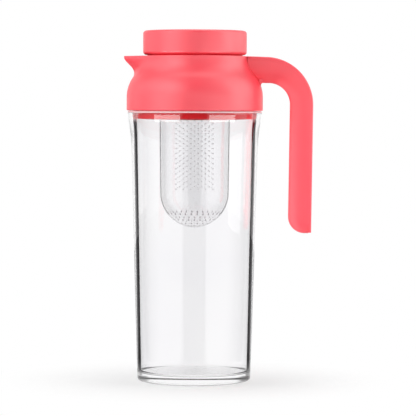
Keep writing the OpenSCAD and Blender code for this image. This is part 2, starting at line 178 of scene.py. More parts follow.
class PITCHER_PG_finish(bpy.types.PropertyGroup):
    """Colours of the finishes."""

    coral: colour("Coral", "Colour of the satin moulded plastic", (0.92, 0.041, 0.068))
    # Painted light: the pieces inside the jug get a brighter, deeper coral than the collar's, to make up for
    # the light the collar keeps off them
    coral_inside_lit: colour("Deep coral", "Colour of the pieces inside the jug", (1.0, 0.010, 0.018))
    clear: colour("Clear", "Tint of the clear plastic", (0.990, 0.987, 1.0))
    clear_thin: colour("Thin clear", "Tint of the basket's thin clear wall", (0.996, 0.993, 0.999))
    # Painted shade: the near black that the clear walls' colour takes where they are seen on edge
    painted_edge_line: colour("Clear edge", "Tint of the wall seen on edge", (0.012, 0.010, 0.013))
    # Painted shade: the grey of the holes' cut edges darkens the holes so that they show as dark dots
    hole_shade: colour("Hole edge", "Tint of the cut edges of the basket's holes", (0.48, 0.42, 0.45))
    # Painted highlight: the shoulder's edge is pale pink for the light it catches and the coral collar it
    # reflects, on a light frost
    highlighted: colour("Frosted", "Tint of the frosted edge of the jug's shoulder", (0.95, 0.68, 0.69))
    # The seals' saturated red is partly their own colour and partly painted shade: the cap's seal fills the
    # shaded gap under the cap
    silicone: colour("Silicone", "Colour of the seals", (0.80, 0.012, 0.035))
    floor: colour("Floor", "Colour of the studio floor", (0.97, 0.97, 0.97))


class PITCHER_PG_settings(bpy.types.PropertyGroup):
    """All sizes and colours of the pitcher."""

    jug: bpy.props.PointerProperty(type=PITCHER_PG_jug)
    collar: bpy.props.PointerProperty(type=PITCHER_PG_collar)
    handle: bpy.props.PointerProperty(type=PITCHER_PG_handle)
    basket: bpy.props.PointerProperty(type=PITCHER_PG_basket)
    liner: bpy.props.PointerProperty(type=PITCHER_PG_liner)
    cap: bpy.props.PointerProperty(type=PITCHER_PG_cap)
    finish: bpy.props.PointerProperty(type=PITCHER_PG_finish)


def clear_selection():
    """Leaves edit mode and deselects everything."""
    if bpy.context.mode != "OBJECT":
        bpy.ops.object.mode_set(mode="OBJECT")
    bpy.ops.object.select_all(action="DESELECT")


def pick(piece):
    """Makes one piece the only one selected."""
    clear_selection()
    piece.select_set(True)
    bpy.context.view_layer.objects.active = piece


def edit_whole():
    """Goes into edit mode with the whole of the active piece selected."""
    bpy.ops.object.mode_set(mode="EDIT")
    bpy.ops.mesh.select_all(action="SELECT")


def select_parts(piece, kind, test):
    """In edit mode, selects the vertices, edges or faces of a piece that pass a test of their place."""
    pick(piece)
    bpy.ops.object.mode_set(mode="EDIT")
    bpy.ops.mesh.select_mode(type=kind)
    bpy.ops.mesh.select_all(action="DESELECT")
    bpy.ops.object.mode_set(mode="OBJECT")
    mesh = piece.data
    if kind == "VERT":
        for vertex in mesh.vertices:
            vertex.select = test(vertex.co)
    elif kind == "EDGE":
        for edge in mesh.edges:
            edge.select = test(*(mesh.vertices[index].co for index in edge.vertices))
    else:
        for face in mesh.polygons:
            face.select = test(face.center, face.normal)
    bpy.ops.object.mode_set(mode="EDIT")


def arc(centre, radius, start, end, steps):
    """Points of an arc in an outline, angles in degrees."""
    turns = [math.radians(start + (end - start) * step / steps) for step in range(steps + 1)]
    return [(centre[0] + radius * math.cos(t), centre[1] + radius * math.sin(t)) for t in turns]


def traced(name, outline, across=0.0):
    """A new piece whose vertex is extruded from point to point of an outline in the XZ plane."""
    clear_selection()
    first = outline[0]
    bpy.ops.mesh.primitive_plane_add(size=MM, location=(first[0], across, first[1]))
    piece = bpy.context.object
    piece.name = piece.data.name = name
    bpy.ops.object.mode_set(mode="EDIT")
    bpy.ops.mesh.select_mode(type="VERT")
    bpy.ops.mesh.select_all(action="SELECT")
    bpy.ops.mesh.merge(type="CENTER")
    for here, there in zip(outline, outline[1:]):
        step = (there[0] - here[0], 0, there[1] - here[1])
        bpy.ops.mesh.extrude_vertices_move(TRANSFORM_OT_translate={"value": step})
    return piece


def mend(piece):
    """Merges doubles, points the faces outwards and puts the piece's place into its mesh."""
    edit_whole()
    bpy.ops.mesh.remove_doubles(threshold=SAME)
    bpy.ops.mesh.normals_make_consistent(inside=False)
    pick(piece)
    bpy.ops.object.transform_apply()


def turned(name, outline, steps, closed=True):
    """A piece turned on the jug's axis from an outline of radius and height."""
    piece = traced(name, outline + outline[:1] if closed else outline)
    edit_whole()
    bpy.ops.mesh.spin(steps=steps, angle=math.tau, center=(0, 0, 0), axis=(0, 0, 1))
    mend(piece)
    return piece


def slab(name, outline, width):
    """A piece cut from a slab that lies across the handle's plane."""
    piece = traced(name, outline, width / 2)
    edit_whole()
    bpy.ops.mesh.edge_face_add()
    bpy.ops.mesh.extrude_region_move(TRANSFORM_OT_translate={"value": (0, -width, 0)})
    mend(piece)
    return piece


def copied(piece):
    """A copy of a piece with a mesh of its own."""
    copy = piece.copy()
    copy.data = piece.data.copy()
    bpy.context.scene.collection.objects.link(copy)
    return copy


def combine(piece, other, operation="DIFFERENCE"):
    """Takes another solid out of a piece, or joins it to the piece, and removes the other one."""
    pick(piece)
    step = piece.modifiers.new("combine", "BOOLEAN")
    step.operation = operation
    step.solver = "EXACT"
    step.object = other
    bpy.ops.object.modifier_apply(modifier=step.name)
    bpy.data.objects.remove(other, do_unlink=True)


def paint_faces(piece, material, test):
    """Gives one more material to the faces of a piece that pass a test of their place and normal."""
    piece.data.materials.append(material)
    select_parts(piece, "FACE", test)
    piece.active_material_index = len(piece.data.materials) - 1
    bpy.ops.object.material_slot_assign()


def finish_piece(piece, body, node, slot, angle, material=None):
    """Smooths a piece and sets it on its body in place of a solid. Clear pieces cast no shadow."""
    pick(piece)
    bpy.ops.object.shade_smooth_by_angle(angle=math.radians(angle))
    if material:
        piece.data.materials.append(material)
    piece.visible_shadow = slot != "clear_plastic"
    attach(piece, body)
    if node:
        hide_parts(node)


def feed(tree, node, inputs):
    """Gives a node's inputs their values: another node's output is linked, anything else is set."""
    for key, value in inputs.items():
        if isinstance(value, bpy.types.NodeSocket):
            tree.links.new(value, node.inputs[key])
        else:
            node.inputs[key].default_value = value


def add_node(tree, kind, place, inputs=None, **settings):
    """A shader node with its settings and its inputs."""
    node = tree.nodes.new("ShaderNode" + kind)
    node.location = place
    for name, value in settings.items():
        setattr(node, name, value)
    feed(tree, node, inputs or {})
    return node


def worked_out(tree, place, operation, *terms, clamp=False):
    """The result of a Math node, whose terms are other nodes' outputs or numbers."""
    node = add_node(tree, "Math", place, dict(enumerate(terms)), operation=operation, use_clamp=clamp)
    return node.outputs[0]


def empty_tree(holder):
    """The node tree of a material or of the surroundings, with no node in it."""
    holder.use_nodes = True
    holder.node_tree.nodes.clear()
    return holder.node_tree


def new_material(name):
    """A material with only a shader and its output, and the shader and its tree."""
    material = bpy.data.materials.new(name)
    tree = empty_tree(material)
    shader = add_node(tree, "BsdfPrincipled", (300, 0))
    add_node(tree, "OutputMaterial", (620, 0), {"Surface": shader.outputs["BSDF"]})
    return material, tree, shader


def noise(tree, place, scale, detail):
    """Noise on Object coordinates."""
    where = add_node(tree, "TexCoord", (place[0] - 200, place[1]))
    inputs = {"Vector": where.outputs["Object"], "Scale": scale, "Detail": detail}
    return add_node(tree, "TexNoise", place, inputs).outputs["Fac"]


def ramp(tree, place, source, stops):
    """A colour ramp with stops of position and colour, or of position and level of grey."""
    node = add_node(tree, "ValToRGB", place, {"Fac": source})
    band = node.color_ramp
    while len(band.elements) > 1:
        band.elements.remove(band.elements[-1])
    for index, (position, shade) in enumerate(stops):
        stop = band.elements[0] if index == 0 else band.elements.new(position)
        stop.position = position
        stop.color = (*(shade if isinstance(shade, tuple) else (shade,) * 3), 1.0)
    return node.outputs["Color"]


# Noise lies mostly between these two values
NOISE_LOW, NOISE_HIGH = 0.3, 0.7


def spread(tree, place, pattern, low, high):
    """A pattern's value, spread between two numbers."""
    inputs = {"Value": pattern, "From Min": NOISE_LOW, "From Max": NOISE_HIGH, "To Min": low, "To Max": high}
    return add_node(tree, "MapRange", place, inputs).outputs["Result"]


def two_tones(tree, place, pattern, base, dark, light):
    """A colour that goes with a pattern from a darker to a lighter tone of itself."""
    tones = [tuple(min(1.0, channel * amount) for channel in base) for amount in (dark, light)]
    return ramp(tree, place, pattern, [(NOISE_LOW, tones[0]), (NOISE_HIGH, tones[1])])


def raised(tree, pattern, strength, height):
    """A surface that a pattern raises a little."""
    inputs = {"Height": pattern, "Strength": strength, "Distance": height}
    return add_node(tree, "Bump", (-300, -320), inputs).outputs["Normal"]


def satin_plastic(name, base, rough, gloss=0.5, bending=1.49):
    """Moulded plastic with a fine satin grain and faint flow marks."""
    found = bpy.data.materials.get(name)
    if found:
        return found
    material, tree, shader = new_material(name)
    flow = noise(tree, (-600, 200), 26.0, 3.0)
    patch = noise(tree, (-600, -60), 90.0, 2.0)
    grain = noise(tree, (-600, -320), 2600.0, 2.0)
    feed(tree, shader, {
        "Base Color": two_tones(tree, (-300, 200), flow, base, 0.965, 1.03),
        "Roughness": spread(tree, (-300, -60), patch, rough - 0.035, rough + 0.035),
        "Normal": raised(tree, grain, 0.10, 0.06 * MM),
        "IOR": bending,
        "Specular IOR Level": gloss,
    })
    return material


def coral_plastic(context):
    """The coral of the collar, the handle and the cap."""
    return satin_plastic("coral_satin", context.scene.pitcher.finish.coral, 0.42, 1.0, 1.6)


def lit_inside_coral_plastic(context):
    """The smoother coral of the liner and the plug, made brighter as painted light for the shade they lie in
    under the collar.
    """
    return satin_plastic("coral_inside_lit", context.scene.pitcher.finish.coral_inside_lit, 0.14)


# How strongly light bends in the clear plastic, and what is left of its painted dark line where that fades
CLEAR_BENDING = 1.5
LINE_LEFT = 0.25


def clear_plastic(name, tint, edge=None, window=None, heights=None):
    """Clear moulded plastic. A window of turning angles paints a dark line into a wall seen on edge,
    which fades from the second height to the first: painted shade, in place of the dark surroundings
    that a real wall shows on edge."""
    material, tree, shader = new_material(name)
    ripple = noise(tree, (-900, -320), 38.0, 1.0)
    cloud = noise(tree, (-900, 520), 14.0, 2.0)
    wear = noise(tree, (-900, -60), 60.0, 2.0)
    tone = two_tones(tree, (-700, 520), cloud, tint, 0.985, 1.01)
    feed(tree, shader, {
        "Normal": raised(tree, ripple, 0.04, 0.4 * MM),
        "Roughness": spread(tree, (-300, -60), wear, 0.0, 0.010),
        "IOR": CLEAR_BENDING,
        "Transmission Weight": 1.0,
    })
    # Painted shade: a near-black line with less transmission and no bending where the wall is seen on edge
    if window:
        turn = add_node(tree, "LayerWeight", (-900, 300), {"Blend": 0.5})
        stops = list(zip((0.0, *window), (0.0, 0.0, 1.0, 1.0, 0.0)))
        line = ramp(tree, (-700, 300), turn.outputs["Facing"], stops)
        side = add_node(tree, "NewGeometry", (-700, 60))
        where = add_node(tree, "TexCoord", (-1300, 60))
        split = add_node(tree, "SeparateXYZ", (-1100, 60), {0: where.outputs["Object"]})
        inputs = {"Value": split.outputs["Z"], "From Min": heights[0], "From Max": heights[1]}
        inputs["To Min"] = LINE_LEFT
        kept = add_node(tree, "MapRange", (-900, 60), inputs, interpolation_type="SMOOTHSTEP")
        inner = worked_out(tree, (-420, 200), "MULTIPLY", line, side.outputs["Backfacing"])
        dark = worked_out(tree, (-300, 200), "MULTIPLY", inner, kept.outputs["Result"])
        blend = add_node(tree, "Mix", (-200, 400), {0: dark}, data_type="RGBA")
        plain, darkest = (socket for socket in blend.inputs if socket.type == "RGBA")
        darkest.default_value = (*edge, 1.0)
        tree.links.new(tone, plain)
        tone = next(socket for socket in blend.outputs if socket.type == "RGBA")
        feed(tree, shader, {
            "Transmission Weight": worked_out(tree, (-200, 120), "SUBTRACT", 1.0, dark),
            "IOR": worked_out(tree, (-200, -60), "MULTIPLY_ADD", dark, 1.0 - CLEAR_BENDING, CLEAR_BENDING),
        })
    feed(tree, shader, {"Base Color": tone})
    return material


def frosted_plastic(name, tint, passing, scale):
    """Clear plastic with a fine frost, as a tool or the mould's parting leaves it on an edge. Its tint is
    painted light: a painted highlight on the jug's shoulder and painted shade in the basket's holes.
    """
    material, tree, shader = new_material(name)
    specks = noise(tree, (-600, 200), scale, 2.0)
    feed(tree, shader, {
        "Base Color": two_tones(tree, (-300, 200), specks, tint, 0.88, 1.12),
        "Roughness": spread(tree, (-300, -60), specks, 0.30, 0.45),
        "IOR": CLEAR_BENDING,
        "Transmission Weight": passing,
    })
    return material


class PITCHER_OT_jug(bpy.types.Operator):
    """Models the clear jug with its thick floor, flared shoulder and threaded neck"""

    bl_idname = "pitcher.jug"
    bl_label = "Jug"

    # Turning angles, from 0 for facing to 1 for edge on, and heights between which the wall's painted dark
    # line shows
    LINE = (0.235, 0.241, 0.269, 0.280)
    LINE_HEIGHTS = (COLLAR_LOW - 5.6 * MM, COLLAR_LOW - 10.2 * MM)

    # Height of the middle of the thread's start, how far a ridge runs in degrees, and its rise in a full turn
    THREAD_START = 229.95 * MM
    THREAD_RUN = 112
    THREAD_LEAD = 18.0 * MM

    def execute(self, context):
        sizes = context.scene.pitcher.jug
        look = context.scene.pitcher.finish
        foot_edge = 2.0 * MM
        floor_edge = 3.0 * MM
        shoulder_edge = 1.5 * MM
        rim_edge = 0.6 * MM
        flare_start = sizes.shoulder_height - sizes.flare_height
        side_end = sizes.shoulder_height - shoulder_edge
        flare_low = side_end - sizes.flare_height / 2
        low = sizes.floor_thickness + floor_edge

        def outside(height):
            above = max(0.0, height - flare_start) / sizes.flare_height
            straight = sizes.foot_radius + sizes.taper * height / sizes.shoulder_height
            return straight + sizes.flare * above * above

        def inside(height):
            share = (height - low) / (RIM_HEIGHT - rim_edge - low)
            above = max(0.0, height - flare_low) / (side_end - flare_low)
            flare = sizes.inner_flare * above * above if above <= 1.0 else 0.0
            return sizes.floor_radius + (sizes.mouth_radius - sizes.floor_radius) * share + flare

        heights = [flare_start * n / 8 for n in range(1, 8)]
        heights += [flare_start + (side_end - flare_start) * n / 16 for n in range(17)]
        outline = [(0.0, 0.0)]
        outline += arc((sizes.foot_radius - foot_edge, foot_edge), foot_edge, -90, 0, 8)
        outline += [(outside(height), height) for height in heights]
        outline += arc((outside(side_end) - shoulder_edge, side_end), shoulder_edge, 10, 90, 5)
        outline += [(sizes.neck_radius, sizes.shoulder_height)]
        outline += arc((sizes.neck_radius - rim_edge, RIM_HEIGHT - rim_edge), rim_edge, 0, 90, 5)
        outline += arc((sizes.mouth_radius + rim_edge, RIM_HEIGHT - rim_edge), rim_edge, 90, 180, 5)
        heights = [RIM_HEIGHT - 6 * MM, sizes.shoulder_height]
        heights += [side_end + (flare_low - side_end) * n / 10 for n in range(11)]
        heights += [flare_low + (low - flare_low) * n / 8 for n in range(1, 8)]
        outline += [(inside(height), height) for height in heights]
        outline += arc((sizes.floor_radius - floor_edge, low), floor_edge, 0, -90, 10)
        outline += [(0.0, sizes.floor_thickness)]
        jug = turned("jug_wall", outline, 192, closed=False)

        def on_inner_side(place, normal):
            inward = place.x * normal.x + place.y * normal.y < -0.2 * place.xy.length
            floor = normal.z > 0.3 and place.z < low
            return place.z > sizes.floor_thickness - MM and (inward or floor)

        def on_shoulder(place, normal):
            level = side_end < place.z < sizes.shoulder_height + 0.1 * MM
            return level and place.xy.length > sizes.neck_radius

        outer = clear_plastic("clear_outside", look.clear)
        # The inside carries the wall's painted dark line, seen on edge
        inner = clear_plastic("clear_inside", look.clear, look.painted_edge_line, self.LINE, self.LINE_HEIGHTS)
        jug.data.materials.append(outer)
        paint_faces(jug, inner, on_inner_side)
        # The shoulder's edge: a light frost whose pale pink tint is a painted highlight with the collar's
        # painted reflection
        paint_faces(jug, frosted_plastic("highlighted_edge", look.highlighted, 0.1, 700.0), on_shoulder)
        finish_piece(jug, "jug", "jug_body", "clear_plastic", 30.0)
        self.add_thread(sizes, outer)
        return {"FINISHED"}

    def add_thread(self, sizes, material):
        """Three ridges round the neck, one modelled and two copied."""
        root, crest = 1.2 * MM, 0.6 * MM
        inner = sizes.neck_radius - 0.05 * MM
        outer = sizes.neck_radius + sizes.thread_depth
        middle = self.THREAD_START
        outline = [(inner, middle - root), (outer, middle - crest), (outer, middle + crest)]
        outline += [(inner, middle + root), (inner, middle - root)]
        ridge = traced("jug_thread", outline)
        mend(ridge)
        climb = ridge.modifiers.new("climb", "SCREW")
        climb.axis = "Z"
        climb.angle = math.radians(self.THREAD_RUN)
        climb.screw_offset = self.THREAD_LEAD * self.THREAD_RUN / 360
        climb.steps = climb.render_steps = 40
        climb.use_merge_vertices = True
        bpy.ops.object.modifier_apply(modifier=climb.name)
        edit_whole()
        bpy.ops.mesh.fill_holes(sides=0)
        mend(ridge)
        ridges = [ridge]
        for turn in (120, 240):
            copy = copied(ridge)
            copy.name = copy.data.name = "jug_thread_%d" % turn
            copy.rotation_euler.z = math.radians(turn)
            pick(copy)
            mend(copy)
            ridges.append(copy)
        for ridge in ridges:
            finish_piece(ridge, "jug", None, "clear_plastic", 35.0, material)


def shoulder_circle(sizes):
    """Centre and radius of the collar's round shoulder, seen from the side."""
    across = sizes.radius - sizes.shoulder_curve
    reach = sizes.shoulder_curve + sizes.waist_curve
    apart = sizes.land_radius + sizes.waist_curve - across
    return (across, COLLAR_TOP - math.sqrt(reach * reach - apart * apart)), sizes.shoulder_curve


class PITCHER_OT_collar(bpy.types.Operator):
    """Models the pouring collar, pulls its beak out ring by ring and cuts the pouring channel"""

    bl_idname = "pitcher.collar"
    bl_label = "Pouring collar"

    # Height of the beak's front edge and how far it stands out from the round collar there, in millimetres
    BEAK = [
        (250.4, 0.0), (252.1, 0.1), (254.6, 1.6), (257.0, 3.6), (259.5, 6.3), (262.0, 9.6),
        (263.7, 11.7), (265.3, 13.4), (267.0, 14.6), (269.0, 14.8),
    ]

    def beak_reach(self, height):
        """How far the beak stands out at a height, on a smooth line through its table."""
        table = [(z * MM, reach * MM) for z, reach in self.BEAK]
        if height <= table[0][0]:
            return 0.0
        for index, (low, high) in enumerate(zip(table, table[1:])):
            if height <= high[0] + 1e-9:
                span = high[0] - low[0]
                share = (height - low[0]) / span
                before = table[max(index - 1, 0)]
                after = table[min(index + 2, len(table) - 1)]
                start = (high[1] - before[1]) / (high[0] - before[0]) * span if index else 0.0
                end = (after[1] - low[1]) / (after[0] - low[0]) * span
                square, cube = share * share, share ** 3
                return (
                    (2 * cube - 3 * square + 1) * low[1] + (cube - 2 * square + share) * start
                    + (3 * square - 2 * cube) * high[1] + (cube - square) * end
                )
        return table[-1][1]

    def execute(self, context):
        sizes = context.scene.pitcher.collar
        edge = 0.6 * MM
        seat = FLANGE_TOP - context.scene.pitcher.basket.flange
        tube = sizes.mouth_radius + 2.0 * MM
        land = 2.5 * MM
        (shoulder_x, shoulder_z), curve = shoulder_circle(sizes)
        waist_x = sizes.land_radius + sizes.waist_curve
        angle = math.degrees(math.atan2(COLLAR_TOP - shoulder_z, waist_x - shoulder_x))
        hollow = sizes.waist_curve + sizes.wall
        inner_stop = math.degrees(math.asin(land / hollow))

        outer = arc((sizes.radius - edge, COLLAR_LOW + edge), edge, -90, 0, 5)
        outer += [(sizes.radius, COLLAR_LOW + (shoulder_z - COLLAR_LOW) * n / 4) for n in range(1, 4)]
        outer += arc((shoulder_x, shoulder_z), curve, 0, angle, 24)[:-1]
        waist = arc((waist_x, COLLAR_TOP), sizes.waist_curve, 180 + angle, 180, 26)
        outer += [point for point in waist if point[1] < COLLAR_TOP - edge]
        rings = outer + arc((sizes.land_radius - edge, COLLAR_TOP - edge), edge, 0, 90, 4)
        inside = [(sizes.mouth_radius + edge, COLLAR_TOP), (sizes.mouth_radius, COLLAR_TOP - edge)]
        inside += [(sizes.mouth_radius, seat), (tube, seat), (tube, COLLAR_TOP - land)]
        inside += arc((waist_x, COLLAR_TOP), hollow, 180 + inner_stop, 180 + angle, 10)
        inside += arc((shoulder_x, shoulder_z), curve - sizes.wall, angle, 0, 10)[1:]
        inside += [(sizes.radius - sizes.wall, COLLAR_LOW)]
        collar = turned("pouring_collar", rings + inside, 144)

        for radius, height in rings:
            pull = self.beak_reach(height)
            if pull > 0.05 * MM:
                self.pull_ring(collar, radius, height, pull)
        self.cut_channel(collar, sizes)
        finish_piece(collar, "collar_assembly", "collar", "coral_plastic", 40.0, coral_plastic(context))
        return {"FINISHED"}

    def pull_ring(self, collar, radius, height, pull):
        """Pulls one ring's front vertex out, and its neighbours with it, into the beak's V."""
        def on_ring(place):
            return abs(place.z - height) < 2 * SAME and abs(place.xy.length - radius) < 2 * SAME

        select_parts(collar, "VERT", on_ring)
        bpy.ops.mesh.hide(unselected=True)
        bpy.ops.mesh.select_all(action="DESELECT")
        bpy.ops.object.mode_set(mode="OBJECT")
        front = min((v for v in collar.data.vertices if not v.hide), key=lambda v: v.co.x)
        front.select = True
        bpy.ops.object.mode_set(mode="EDIT")
        chord = 2 * radius * math.sin(math.acos(radius / (radius + pull)) / 2)
        bpy.ops.transform.translate(
            value=(-pull, 0, 0), use_proportional_edit=True, proportional_edit_falloff="SHARP",
            proportional_size=chord * 1.08, use_proportional_connected=False,
            use_proportional_projected=False,
        )
        bpy.ops.mesh.reveal(select=False)
        bpy.ops.object.mode_set(mode="OBJECT")

    def cut_channel(self, collar, sizes):
        """Cuts the pouring channel with a cone that lies on its side."""
        tilt = math.radians(8.5)
        half = math.radians(46.5)
        start, end = 3.4 * MM, 27.4 * MM
        apex = Vector((-SPOUT_TIP + 0.4 * MM, 0, COLLAR_TOP))
        along = Vector((math.cos(tilt), 0, -math.sin(tilt)))
        wall = 2.4 * MM / math.sin(half)
        narrow = max(start - wall, 0.3 * MM) * math.tan(half)
        clear_selection()
        bpy.ops.mesh.primitive_cone_add(
            vertices=64, radius1=(end - wall) * math.tan(half), radius2=narrow, depth=end - start,
            location=apex + along * (start + end) / 2, rotation=(0, tilt - math.pi / 2, 0),
        )
        cutter = bpy.context.object
        bpy.ops.object.transform_apply()
        edit_whole()
        bpy.ops.mesh.bisect(
            plane_co=(0, 0, sizes.channel_floor), plane_no=(0, 0, 1), use_fill=True, clear_inner=True
        )
        mend(cutter)
        combine(collar, cutter)


class PITCHER_OT_handle(bpy.types.Operator):
    """Models the grip and the strip that closes its back"""

    bl_idname = "pitcher.handle"
    bl_label = "Handle"

    def execute(self, context):
        sizes = context.scene.pitcher.handle
        root = context.scene.pitcher.collar.land_radius - 0.6 * MM
        bend = (HANDLE_BACK - sizes.bend_radius, COLLAR_TOP - sizes.arm_fall - sizes.bend_radius)
        fall = bend[1] - HANDLE_LOW

        def back(inset, low):
            lean = sizes.lean * (bend[1] - low) / fall
            steps = [(bend[1] + (low - bend[1]) * n / 12, lean * n / 12) for n in range(1, 13)]
            return (
                [(root, COLLAR_TOP - inset)]
                + arc(bend, sizes.bend_radius - inset, 90, 0, 32)
                + [(HANDLE_BACK - inset - shift, height) for height, shift in steps]
            )

        under_arm = COLLAR_TOP - sizes.arm_height
        inner_x = HANDLE_BACK - sizes.thickness
        end_z = HANDLE_LOW + sizes.end_radius
        end_x = inner_x - sizes.lean * (bend[1] - end_z) / fall + sizes.end_radius
        palm = arc((end_x, end_z), sizes.end_radius, 270, 180, 16)
        palm += arc((inner_x - sizes.palm_bend, under_arm - sizes.palm_bend), sizes.palm_bend, 0, 90, 24)
        palm += [(root, under_arm)]

        seam = 0.02 * MM
        coral = coral_plastic(context)
        joint_line = back(sizes.strip + seam, HANDLE_LOW)
        grip = slab("handle_grip_shell", joint_line + palm, HANDLE_WIDTH)
        self.round_edges(grip, joint_line[-1:] + palm, sizes.palm_edge, 10)
        self.round_edges(grip, joint_line, sizes.seam_edge, 3)
        self.crown_sides(grip, sizes, bend)
        combine(grip, self.web(context), "UNION")
        finish_piece(grip, "collar_assembly", "handle_grip", "coral_plastic", 35.0, coral)

        low = HANDLE_LOW + 0.8 * MM
        outside, under = back(0.0, low), back(sizes.strip, low)
        strip = slab("handle_strip", outside + under[::-1], HANDLE_WIDTH)
        self.round_edges(strip, outside, sizes.strip_edge, 4)
        self.round_edges(strip, under, sizes.seam_edge * 0.6, 2)
        finish_piece(strip, "collar_assembly", "handle_back_strip", "coral_plastic", 35.0, coral)
        return {"FINISHED"}

    def crown_sides(self, grip, sizes, bend):
        """Narrows the grip towards the palm, so that its two flat sides become gently crowned."""
        depth = sizes.thickness - sizes.strip

        def on_side(place, normal):
            return abs(normal.y) > 0.999 and abs(abs(place.y) - HANDLE_WIDTH / 2) < SAME

        select_parts(grip, "FACE", on_side)
        bpy.ops.mesh.inset(thickness=(depth - sizes.palm_edge) * 0.45, depth=0.0)
        bpy.ops.object.mode_set(mode="OBJECT")
        for vertex in grip.data.vertices:
            x, z = vertex.co.x, vertex.co.z
            inward = min(HANDLE_BACK - x, COLLAR_TOP - z)
            if x > bend[0] and z > bend[1]:
                inward = sizes.bend_radius - math.hypot(x - bend[0], z - bend[1])
            share = min(max((inward - sizes.strip) / depth, 0.0), 1.1)
            vertex.co.y *= 1 - sizes.crown * share ** 2

    def web(self, context):
        """The small web under the arm, hollowed where it runs into the collar's shoulder."""
        sizes = context.scene.pitcher.handle
        centre, curve = shoulder_circle(context.scene.pitcher.collar)
        under = COLLAR_TOP - sizes.arm_height
        height = under - sizes.fillet
        rise = height - centre[1]
        across = math.sqrt((curve + sizes.fillet) ** 2 - rise * rise)
        stop = 180 + math.degrees(math.atan2(rise, across))
        outline = arc((centre[0] + across, height), sizes.fillet, 90, stop, 8)
        first, last = outline[0], outline[-1]
        inside, top = last[0] - 2 * MM, under + 4 * MM
        outline += [(inside, last[1]), (inside, top), (first[0], top)]
        return slab("web", outline, HANDLE_WIDTH / 2)

    def round_edges(self, piece, path, radius, segments):
        """Bevels the two long edges of a slab that follow a path."""
        def on_path(place):
            return abs(abs(place.y) - HANDLE_WIDTH / 2) < SAME and any(
                abs(place.x - x) + abs(place.z - z) < 4 * SAME for x, z in path
            )

        select_parts(piece, "EDGE", lambda a, b: abs(a.y - b.y) < SAME and on_path(a) and on_path(b))
        bpy.ops.mesh.bevel(offset=radius, segments=segments, profile=0.5, affect="EDGES", clamp_overlap=True)
        mend(piece)


